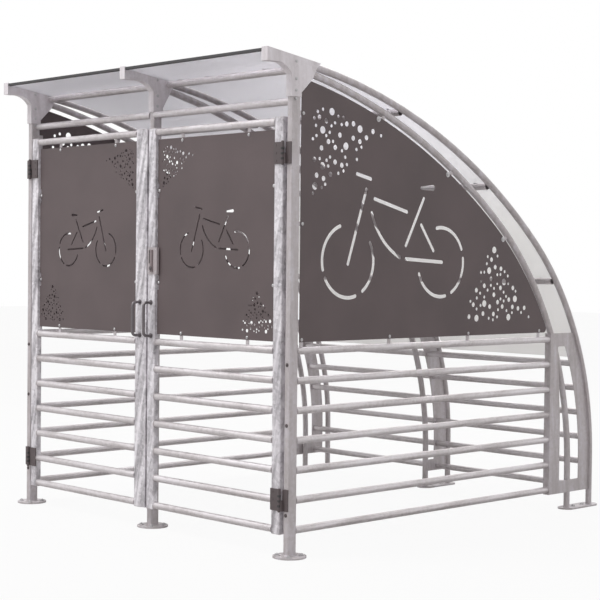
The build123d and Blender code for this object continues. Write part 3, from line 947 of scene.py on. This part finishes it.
@dataclass
class InfillPanels:
    """Side and door panels with all their bubbles and the door panels' edge notches."""

    palette: Palette
    top: BubbleField = BubbleField(
        ((-0.121, 0.047), (0.339, -0.086), (-0.121, -0.393)),
        ((0.0, 0.0), (-0.057, -0.085), (0.181, -0.065), (0.091, -0.148), (-0.056, -0.244),
         (-0.102, -0.335)), medium_count=18, small_count=30)
    low: BubbleField = BubbleField(
        ((0.065, 0.330), (0.385, -0.068), (-0.150, -0.068)),
        ((0.087, 0.282), (0.049, 0.179), (0.168, 0.122), (0.258, 0.036), (0.014, 0.015), (-0.045, -0.057),
         (0.207, -0.056)), medium_count=20, small_count=34)
    side_top_at: Pair = (0.251, 1.968)
    side_low_at: Pair = (1.325, 1.085)
    door_scale: float = 0.5
    door_top_in: float = 0.0945
    door_top_drop: float = 0.042
    door_low_in: float = 0.159
    door_low_rise: float = 0.0705
    notch_h: float = 0.024
    notch_d: float = 0.010
    notch_gap: float = 0.023
    tab_rises: Pair = (0.248, 0.687)
    drill_l: float = 0.02
    edge_margin: float = 0.016
    notch_round: float = 0.004
    small_below: float = 0.006
    same_point: float = 0.00001

    def drill(self, at: Sequence[float], normal: Sequence[float], radius: float) -> Piece:
        """Round cutter through a panel.

        Args:
            at: centre on the panel.
            normal: direction of the hole.
            radius: hole radius.

        Returns:
            The cutter.
        """
        sides = 20 if radius > self.small_below else 14
        cutter = cylinder(sides, radius, self.drill_l, -self.drill_l / 2)
        cutter.data.transform(place(at, normal))
        return cutter

    def notch(self, at: Sequence[float]) -> Piece:
        """Box cutter with rounded ends for a notch in a door panel's edge.

        Args:
            at: centre of the notch.

        Returns:
            The cutter.
        """
        cutter = block(at, (2 * self.notch_d, self.drill_l, self.notch_h))
        activate(cutter)
        bpy.ops.object.mode_set(mode="EDIT")
        round_all(self.notch_round, segments=3)
        return settle(cutter)

    def cut(self, node: str, body: str, cutters: list[Piece]) -> None:
        """Copy a panel's node, cut it and let the copy stand for the node.

        Args:
            node: CAD node.
            body: body that it rides on.
            cutters: closed meshes to take away.
        """
        tool = join(cutters, f"{node}_cutter")
        source = frame["nodes"][node]
        piece = source.copy()
        piece.data = source.data.copy()
        piece.name = f"{node}_pierced"
        bpy.context.scene.collection.objects.link(piece)
        activate(piece)
        bpy.ops.object.mode_set(mode="EDIT")
        bpy.ops.mesh.select_all(action="SELECT")
        bpy.ops.mesh.remove_doubles(threshold=self.same_point)
        activate(piece)
        modifier = piece.modifiers.new("cut", "BOOLEAN")
        modifier.object = tool
        modifier.solver = "EXACT"
        bpy.ops.object.modifier_apply(modifier=modifier.name)
        bpy.data.objects.remove(tool)
        dress(piece, self.palette.panel, body)
        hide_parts(node)

    def side(self, side: Side) -> None:
        """Pierce one side panel.

        Args:
            side: which wall.
        """
        x = side.value * (LAYOUT.bay + LAYOUT.panel_x + LAYOUT.panel_t / 2)
        cutters = []
        for bubbles, (y0, z0) in ((self.top, self.side_top_at), (self.low, self.side_low_at)):
            for u, v, radius in bubbles.holes():
                cutters.append(self.drill((x, y0 + u, z0 + v), (1, 0, 0), radius))
        self.cut(f"{side.word}_side_panel", "shelter", cutters)

    def door(self, side: Side) -> None:
        """Pierce one door panel; the pattern is drawn for the right door and mirrored.

        Args:
            side: which door.
        """
        node = f"{side.door}_panel"
        low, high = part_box(node)
        middle, half, y = (low[0] + high[0]) / 2, (high[0] - low[0]) / 2, (low[1] + high[1]) / 2
        cutters = []
        fields = ((self.top, self.door_top_in - half, high[2] - self.door_top_drop),
                  (self.low, half - self.door_low_in, low[2] + self.door_low_rise))
        for bubbles, x0, z0 in fields:
            for u, v, radius in bubbles.holes():
                across = x0 + u * self.door_scale
                if abs(across) < half - self.edge_margin:
                    at = (middle + side.value * across, y, z0 + v * self.door_scale)
                    cutters.append(self.drill(at, (0, 1, 0), radius * self.door_scale))
        for edge in (low[0], high[0]):
            for rise in self.tab_rises:
                for step in (-self.notch_gap, self.notch_gap):
                    cutters.append(self.notch((edge, y, low[2] + rise + step)))
        self.cut(node, side.door, cutters)

    def build(self) -> None:
        """Pierce all four panels."""
        for side in Side:
            self.side(side)
            self.door(side)


@dataclass
class PanelScrews:
    """Screws that hold the side and door panels to their tabs."""

    palette: Palette
    small: ScrewHead = ScrewHead(0.0078, 0.0014, 0.0056, 0.0032, 0.0022)
    ring: ScrewHead = ScrewHead(0.0130, 0.0020, 0.0070, 0.0040, 0.0028, 20)
    bottom_ys: tuple[float, ...] = (0.076, 0.645, 1.214, 1.783)
    bottom_z: float = 0.955
    post_y: float = 0.074
    post_zs: tuple[float, ...] = (1.948, 1.464)
    arc_drops: tuple[float, ...] = (0.169, 0.400, 0.705)
    arc_out: float = -0.045
    left_door_xs: tuple[float, ...] = (-0.898, -0.729, -0.257, -0.088)
    right_door_xs: tuple[float, ...] = (0.093, 0.262, 0.729, 0.898)
    door_edge_zs: tuple[float, ...] = (1.192, 1.631)
    door_top_z: float = 1.865

    def side(self, side: Side) -> None:
        """Screws of one side panel.

        Args:
            side: which wall.
        """
        x = side.value * (LAYOUT.bay + LAYOUT.panel_x + LAYOUT.panel_t)
        normal = (side.value, 0, 0)
        spots = [place((x, y, self.bottom_z), normal) for y in self.bottom_ys]
        spots += [place((x, self.post_y, z), normal) for z in self.post_zs]
        fit(self.small.master(), spots, f"{side.word}_side_panel_screws", self.palette.screw)
        spots = []
        for drop in self.arc_drops:
            angle = INNER.slope_at(INNER.start[1] - drop, self.arc_out)
            spots.append(place((x, *INNER.point(angle, self.arc_out)), normal))
        fit(self.ring.master(), spots, f"{side.word}_side_arc_screws", self.palette.screw)

    def door(self, side: Side) -> None:
        """Screws of one door panel.

        Args:
            side: which door.
        """
        edge, *inner, other_edge = self.left_door_xs if side is Side.LEFT else self.right_door_xs
        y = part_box(f"{side.door}_panel")[0][1]
        spots = [place((x, y, z), (0, -1, 0)) for x in inner for z in (self.bottom_z, self.door_top_z)]
        spots += [place((x, y, z), (0, -1, 0)) for x in (edge, other_edge) for z in self.door_edge_zs]
        fit(self.small.master(), spots, f"{side.door}_panel_screws", self.palette.screw,
            side.door)

    def build(self) -> None:
        """Place all panel screws."""
        for side in Side:
            self.side(side)
            self.door(side)


@dataclass
class FrameBolts:
    """Bolts on posts, head gussets and foot plates."""

    palette: Palette
    post: ScrewHead = ScrewHead(0.0085, 0.0015, 0.0062, 0.0040, 0.0026)
    gusset: ScrewHead = ScrewHead(0.0075, 0.0012, 0.0055, 0.0030, 0.0022)
    post_zs: tuple[float, ...] = (0.846, 0.580, 0.186)
    gusset_y: float = 0.020
    gusset_zs: tuple[float, ...] = (2.169, 2.093, 2.043, 2.006)
    cheek_x: float = 0.0193
    anchor_ring: float = 0.055
    rear_anchor_y: float = 2.156209
    rear_anchor_step: float = 0.040
    rear_anchor_turn: float = 20.0

    def build(self) -> None:
        """Place all frame bolts."""
        xs = (-LAYOUT.bay, LAYOUT.bay)
        spots = [place((x, 0.0, z), (0, -1, 0)) for x in xs for z in self.post_zs]
        fit(self.post.master(), spots, "post_bolts", self.palette.hinge)
        spots = []
        for x in LAYOUT.frames:
            y = self.gusset_y + LAYOUT.setback(x)
            for cheek in (-1, 1):
                spots += [place((x + cheek * self.cheek_x, y, z), (cheek, 0, 0)) for z in self.gusset_zs]
        fit(self.gusset.master(), spots, "gusset_bolts", self.palette.screw)
        spots = []
        for x in LAYOUT.frames:
            y = LAYOUT.post_d / 2 + LAYOUT.setback(x)
            for turn in (45, 135, 225, 315):
                across = self.anchor_ring * math.cos(math.radians(turn))
                along = self.anchor_ring * math.sin(math.radians(turn))
                spots.append(place((x + across, y + along, LAYOUT.foot_t), turn=turn))
            for way in (-1, 1):
                at = (x, self.rear_anchor_y + way * self.rear_anchor_step, LAYOUT.foot_t)
                spots.append(place(at, turn=way * self.rear_anchor_turn))
        fit(AnchorBolt().master(), spots, "anchor_bolts", self.palette.screw)


@dataclass
class WeldSeams:
    """Weld beads where rails, tubes and posts are joined."""

    palette: Palette
    rail: WeldBead = WeldBead(0.0172)
    tube: WeldBead = WeldBead(0.0168)
    rear_tube_ys: Pair = (2.057178, 2.255240)
    plate_y: float = 1.874
    proud: float = 0.0006

    def build(self) -> None:
        """Place all seams."""
        steel = self.palette.steel
        spots = []
        for side in Side:
            for z in LAYOUT.rail_zs:
                for y in (LAYOUT.post_d + self.proud, self.plate_y - self.proud):
                    spots.append(place((side.value * LAYOUT.bay, y, z), (0, 1, 0)))
        fit(self.rail.master(), spots, "side_rail_welds", steel)
        foot_z = LAYOUT.foot_t + self.proud
        spots = [place((x, y, foot_z)) for x in LAYOUT.frames for y in self.rear_tube_ys]
        fit(self.tube.master(), spots, "rear_foot_welds", steel)
        spots = [place((x, LAYOUT.post_d / 2 + LAYOUT.setback(x), LAYOUT.foot_t)) for x in LAYOUT.frames]
        fit(FootSeam(LAYOUT.post_w, LAYOUT.post_d).master(), spots, "front_foot_welds", steel)
        heights = LAYOUT.rail_zs + [LAYOUT.door_top_rail_z]
        for side in Side:
            low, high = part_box(f"{side.door}_rails")
            xs = (low[0] + self.proud, high[0] - self.proud)
            spots = [place((x, LAYOUT.stile_y, z), (1, 0, 0)) for x in xs for z in heights]
            fit(self.rail.master(), spots, f"{side.door}_rail_welds", steel, side.door)


@dataclass
class DoorFittings:
    """Stile caps, handle rosettes, hinge collars, pin heads and leaf screws."""

    palette: Palette
    cap_play: float = 0.002
    hinge_zs: Pair = (0.252, 1.772)
    hinge_x: float = 0.9755
    hinge_y: float = -0.018
    hinge_h: float = 0.096
    leaf_t: float = 0.006
    ring_r: float = 0.0079
    ring_h: float = 0.0100
    ring_round: float = 0.0005
    ring_steps: tuple[float, ...] = (0.019, -0.003, -0.025)
    pin_head: ScrewHead = ScrewHead(0.0070, 0.0012, 0.0056, 0.0034, 0.0014, 24)
    leaf_screw: ScrewHead = ScrewHead(0.0050, 0.0006, 0.0042, 0.0010, 0.0016)
    leaf_screw_in: float = 0.045
    leaf_screw_steps: tuple[float, ...] = (-0.034, 0.0, 0.034)
    handle_zs: Pair = (0.935, 1.095)
    rosette: ScrewHead = ScrewHead(0.0125, 0.0022, 0.0098, 0.0022, 0.0060, 24)

    def caps(self, side: Side) -> None:
        """Cover plates on the ends of one door's stiles.

        Args:
            side: which door.
        """
        low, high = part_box(f"{side.door}_stiles")
        xs = (low[0] + LAYOUT.stile_w / 2, high[0] - LAYOUT.stile_w / 2)
        spots = [place((x, LAYOUT.stile_y, high[2])) for x in xs]
        spots += [upside_down((x, LAYOUT.stile_y, low[2])) for x in xs]
        cap = StileCap(LAYOUT.stile_w - self.cap_play, LAYOUT.stile_d - self.cap_play)
        fit(cap.master(), spots, f"{side.word}_stile_caps", self.palette.steel, side.door)

    def collar(self) -> Piece:
        """Model a rounded collar that goes around a knuckle.

        Returns:
            The mesh object.
        """
        piece = cylinder(28, self.ring_r, self.ring_h, -self.ring_h / 2)
        pick_faces(piece, lambda face: abs(face.normal.z) > FACING)
        bpy.ops.mesh.bevel(offset=self.ring_round, segments=2, affect="EDGES")
        return settle(piece)

    def hinges(self, side: Side) -> None:
        """Collars, pin heads and leaf screws of one door's hinges.

        Args:
            side: which door.
        """
        x, door = side.value * self.hinge_x, side.door
        rings = {door: [], "shelter": []}
        heads = {door: [], "shelter": []}
        screws = []
        screw_x, leaf_y = x - side.value * self.leaf_screw_in, LAYOUT.door_front_y - self.leaf_t
        for z in self.hinge_zs:
            for step in self.ring_steps:
                rings[door if step > 0 else "shelter"].append(place((x, self.hinge_y, z + step)))
            heads[door].append(place((x, self.hinge_y, z + self.hinge_h / 2)))
            heads["shelter"].append(upside_down((x, self.hinge_y, z - self.hinge_h / 2)))
            screws += [place((screw_x, leaf_y, z + step), (0, -1, 0)) for step in self.leaf_screw_steps]
        for body, part in ((door, "door"), ("shelter", "post")):
            owner = f"{side.word}_{part}_hinge"
            fit(self.collar(), rings[body], f"{owner}_rings", self.palette.dark, body)
            fit(self.pin_head.master(), heads[body], f"{owner}_pin_heads", self.palette.hinge, body)
        fit(self.leaf_screw.master(), screws, f"{side.door}_hinge_screws", self.palette.hinge, door)

    def rosettes(self, side: Side) -> None:
        """Rosettes at the feet of one handle.

        Args:
            side: which door.
        """
        low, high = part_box(f"{side.door}_handle")
        x = (low[0] + high[0]) / 2
        spots = [place((x, high[1], z), (0, -1, 0)) for z in self.handle_zs]
        fit(self.rosette.master(), spots, f"{side.word}_handle_rosettes", self.palette.handle,
            side.door)

    def build(self) -> None:
        """Fit both doors."""
        for side in Side:
            self.caps(side)
            self.hinges(side)
            self.rosettes(side)


@dataclass
class LockFront:
    """Rounded body, strike slot, cylinder and screws on the right door's lock plate."""

    palette: Palette
    body_x: float = 0.058
    body_w: float = 0.017
    body_t: float = 0.008
    body_margin: float = 0.012
    body_round: float = 0.0038
    slot_x: float = 0.041
    slot_out: float = 0.0006
    slot_drop: float = 0.044
    slot_size: Point = (0.008, 0.0016, 0.066)
    slot_rim: float = 0.0012
    slot_depth: float = 0.0008
    barrel: ScrewHead = ScrewHead(0.0095, 0.0030, 0.0080, 0.0030, 0.0030, 24)
    barrel_out: float = 0.0078
    barrel_rise: float = 0.030
    screw: ScrewHead = ScrewHead(0.0036, 0.0005, 0.0032, 0.0012, 0.0012, 12)
    screw_xs: Pair = (0.037, 0.086)
    screw_margin: float = 0.012

    def build(self) -> None:
        """Fit the lock's front to its plate."""
        (_, front, low), (_, _, high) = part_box("door_lock_case")
        height = high - low - 2 * self.body_margin
        at = (self.body_x, front - self.body_t / 2, (low + high) / 2)
        body = block(at, (self.body_w, self.body_t, height))
        pick_faces(body, faces_front)
        bpy.ops.mesh.bevel(offset=self.body_round, segments=4, affect="EDGES")
        settle(body)
        body.name = "lock_body"
        dress(body, self.palette.lock_body, "right_door")
        slot = block((self.slot_x, front - self.slot_out, high - self.slot_drop), self.slot_size)
        pick_faces(slot, faces_front)
        bpy.ops.mesh.inset(thickness=self.slot_rim)
        extrude((0, self.slot_depth, 0))
        settle(slot)
        slot.name = "lock_strike_slot"
        dress(slot, self.palette.dark, "right_door")
        spots = [place((self.body_x, front - self.barrel_out, low + self.barrel_rise), (0, -1, 0))]
        fit(self.barrel.master(), spots, "lock_barrel", self.palette.handle, "right_door")
        heights = (low + self.screw_margin, high - self.screw_margin)
        spots = [place((x, front, z), (0, -1, 0)) for x in self.screw_xs for z in heights]
        fit(self.screw.master(), spots, "lock_plate_screws", self.palette.screw, "right_door")


@dataclass
class RoofFixings:
    """Screws with sealing washers that hold the roof sheets to the purlins."""

    palette: Palette
    screw: ScrewHead = ScrewHead(0.0105, 0.0025, 0.0060, 0.0040, 0.0026)
    slopes: tuple[float, ...] = (7.8, 19.5, 33.0, 52.0)
    sheet_top: float = 0.0115
    steps: tuple[float, ...] = (0.10, 0.30, 0.50, 0.70, 0.90)

    def build(self) -> None:
        """Place the roof screws."""
        spots = []
        for slope in self.slopes:
            y, z = OUTER.point(slope, self.sheet_top)
            normal = (0, math.sin(math.radians(slope)), math.cos(math.radians(slope)))
            spots += [place((side.value * x, y, z), normal) for side in Side for x in self.steps]
        fit(self.screw.master(), spots, "roof_screws", self.palette.screw)


@dataclass(frozen=True)
class Lamp:
    """Soft square lamp: its place, power in watts and side."""

    name: str
    at: Point
    power: float
    side: float


@dataclass
class Studio:
    """Camera, lamps, floor and background."""

    lens: float = 90.505
    sensor: float = 36.0
    eye: Point = (5.7751, -4.5201, 1.2939)
    yaw: float = 46.11
    pitch: float = -1.42
    roll: float = 0.59
    sight: float = 100.0
    daylight: Colour = (1.0, 0.99, 1.0)
    ambient: float = 0.8
    wall: Colour = (1.0, 0.985, 0.97)
    ceiling: Colour = (0.50, 0.475, 0.54)
    wall_to: float = 0.04
    ceiling_from: float = 0.22
    target: Point = (0.0, 0.9, 1.0)
    lamps: tuple[Lamp, ...] = (Lamp("key", (-1.7, -3.2, 7.2), 290.0, 3.0),
                               Lamp("back", (-2.0, 6.0, 5.5), 120.0, 4.0))
    floor_size: float = 60.0
    floor_dark: Colour = (0.54, 0.53, 0.52)
    floor_light: Colour = (0.57, 0.56, 0.55)
    floor_white: float = 0.93

    def camera(self) -> None:
        """Place the camera at the photograph's viewpoint."""
        turns = ((self.yaw, "Z"), (90.0 + self.pitch, "X"), (self.roll, "Z"))
        yaw, pitch, roll = (Matrix.Rotation(math.radians(angle), 4, axis) for angle, axis in turns)
        data = bpy.data.cameras.new("camera")
        data.lens = self.lens
        data.sensor_width = self.sensor
        data.clip_end = self.sight
        camera = bpy.data.objects.new("camera", data)
        camera.matrix_world = Matrix.Translation(self.eye) @ yaw @ pitch @ roll
        bpy.context.scene.collection.objects.link(camera)
        bpy.context.scene.camera = camera

    def background(self) -> None:
        """White to the camera and in gloss, a wall under a darker ceiling through glass, else soft."""
        world = bpy.data.worlds.new("studio")
        bpy.context.scene.world = world
        world.use_nodes = True
        n = Nodes(world.node_tree, "ShaderNodeOutputWorld")
        path = n.add("ShaderNodeLightPath")
        plain = n.add("ShaderNodeMath", operation="MAXIMUM")
        n.put(plain.inputs[0], path.outputs["Is Camera Ray"])
        n.put(plain.inputs[1], path.outputs["Is Glossy Ray"])
        height = n.add("ShaderNodeSeparateXYZ", Vector=n.coords.outputs["Generated"]).outputs["Z"]
        room = n.ramp(height, [(self.wall_to, self.wall), (self.ceiling_from, self.ceiling)])
        soft = n.add("ShaderNodeBackground", Color=(*self.daylight, 1.0), Strength=self.ambient)
        seen = n.add("ShaderNodeBackground", Color=room)
        white = n.add("ShaderNodeBackground", Color=WHITE)
        lit = n.mix(path.outputs["Is Transmission Ray"], soft, seen)
        n.close(n.mix(plain.outputs[0], lit, white))

    def light(self) -> None:
        """Add the soft lamps, all aimed at the shelter's middle."""
        for lamp in self.lamps:
            data = bpy.data.lights.new(lamp.name, "AREA")
            data.energy = lamp.power
            data.size = lamp.side
            holder = bpy.data.objects.new(lamp.name, data)
            aim = (Vector(self.target) - Vector(lamp.at)).to_track_quat("-Z", "Y")
            holder.matrix_world = Matrix.Translation(lamp.at) @ aim.to_matrix().to_4x4()
            bpy.context.scene.collection.objects.link(holder)

    def floor(self) -> None:
        """Plain pale floor, white to the camera apart from the object's shadow."""
        deselect()
        bpy.ops.mesh.primitive_plane_add(size=self.floor_size, location=(0.0, 0.0, 0.0))
        floor = settle(bpy.context.object)
        floor.name = "floor"
        n = Surface("pale_floor")
        tone = n.ramp(n.noise(0.6, 2.0), [(0.3, self.floor_dark), (0.7, self.floor_light)])
        diffuse = n.add("ShaderNodeBsdfDiffuse", Color=tone)
        glow = n.add("ShaderNodeEmission", Strength=1.0, Color=WHITE)
        seen = n.add("ShaderNodeMath", operation="MULTIPLY")
        n.put(seen.inputs[0], n.add("ShaderNodeLightPath").outputs["Is Camera Ray"])
        n.put(seen.inputs[1], self.floor_white)
        n.close(n.mix(seen.outputs[0], diffuse, glow))
        floor.data.materials.append(n.material)

    def build(self) -> None:
        """Build the studio."""
        self.camera()
        self.background()
        self.light()
        self.floor()
        bpy.context.scene.view_settings.view_transform = "Standard"
        LOG.info("studio ready")


def main() -> None:
    """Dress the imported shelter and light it."""
    logging.basicConfig(level=logging.INFO, format="%(name)s: %(message)s")
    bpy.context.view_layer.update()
    palette = Palette()
    CadFrame(palette).build()
    assemblies = (InfillPanels, PanelScrews, FrameBolts, WeldSeams, DoorFittings, LockFront, RoofFixings)
    for assembly in assemblies:
        assembly(palette).build()
    Studio().build()


if __name__ == "__main__":
    main()
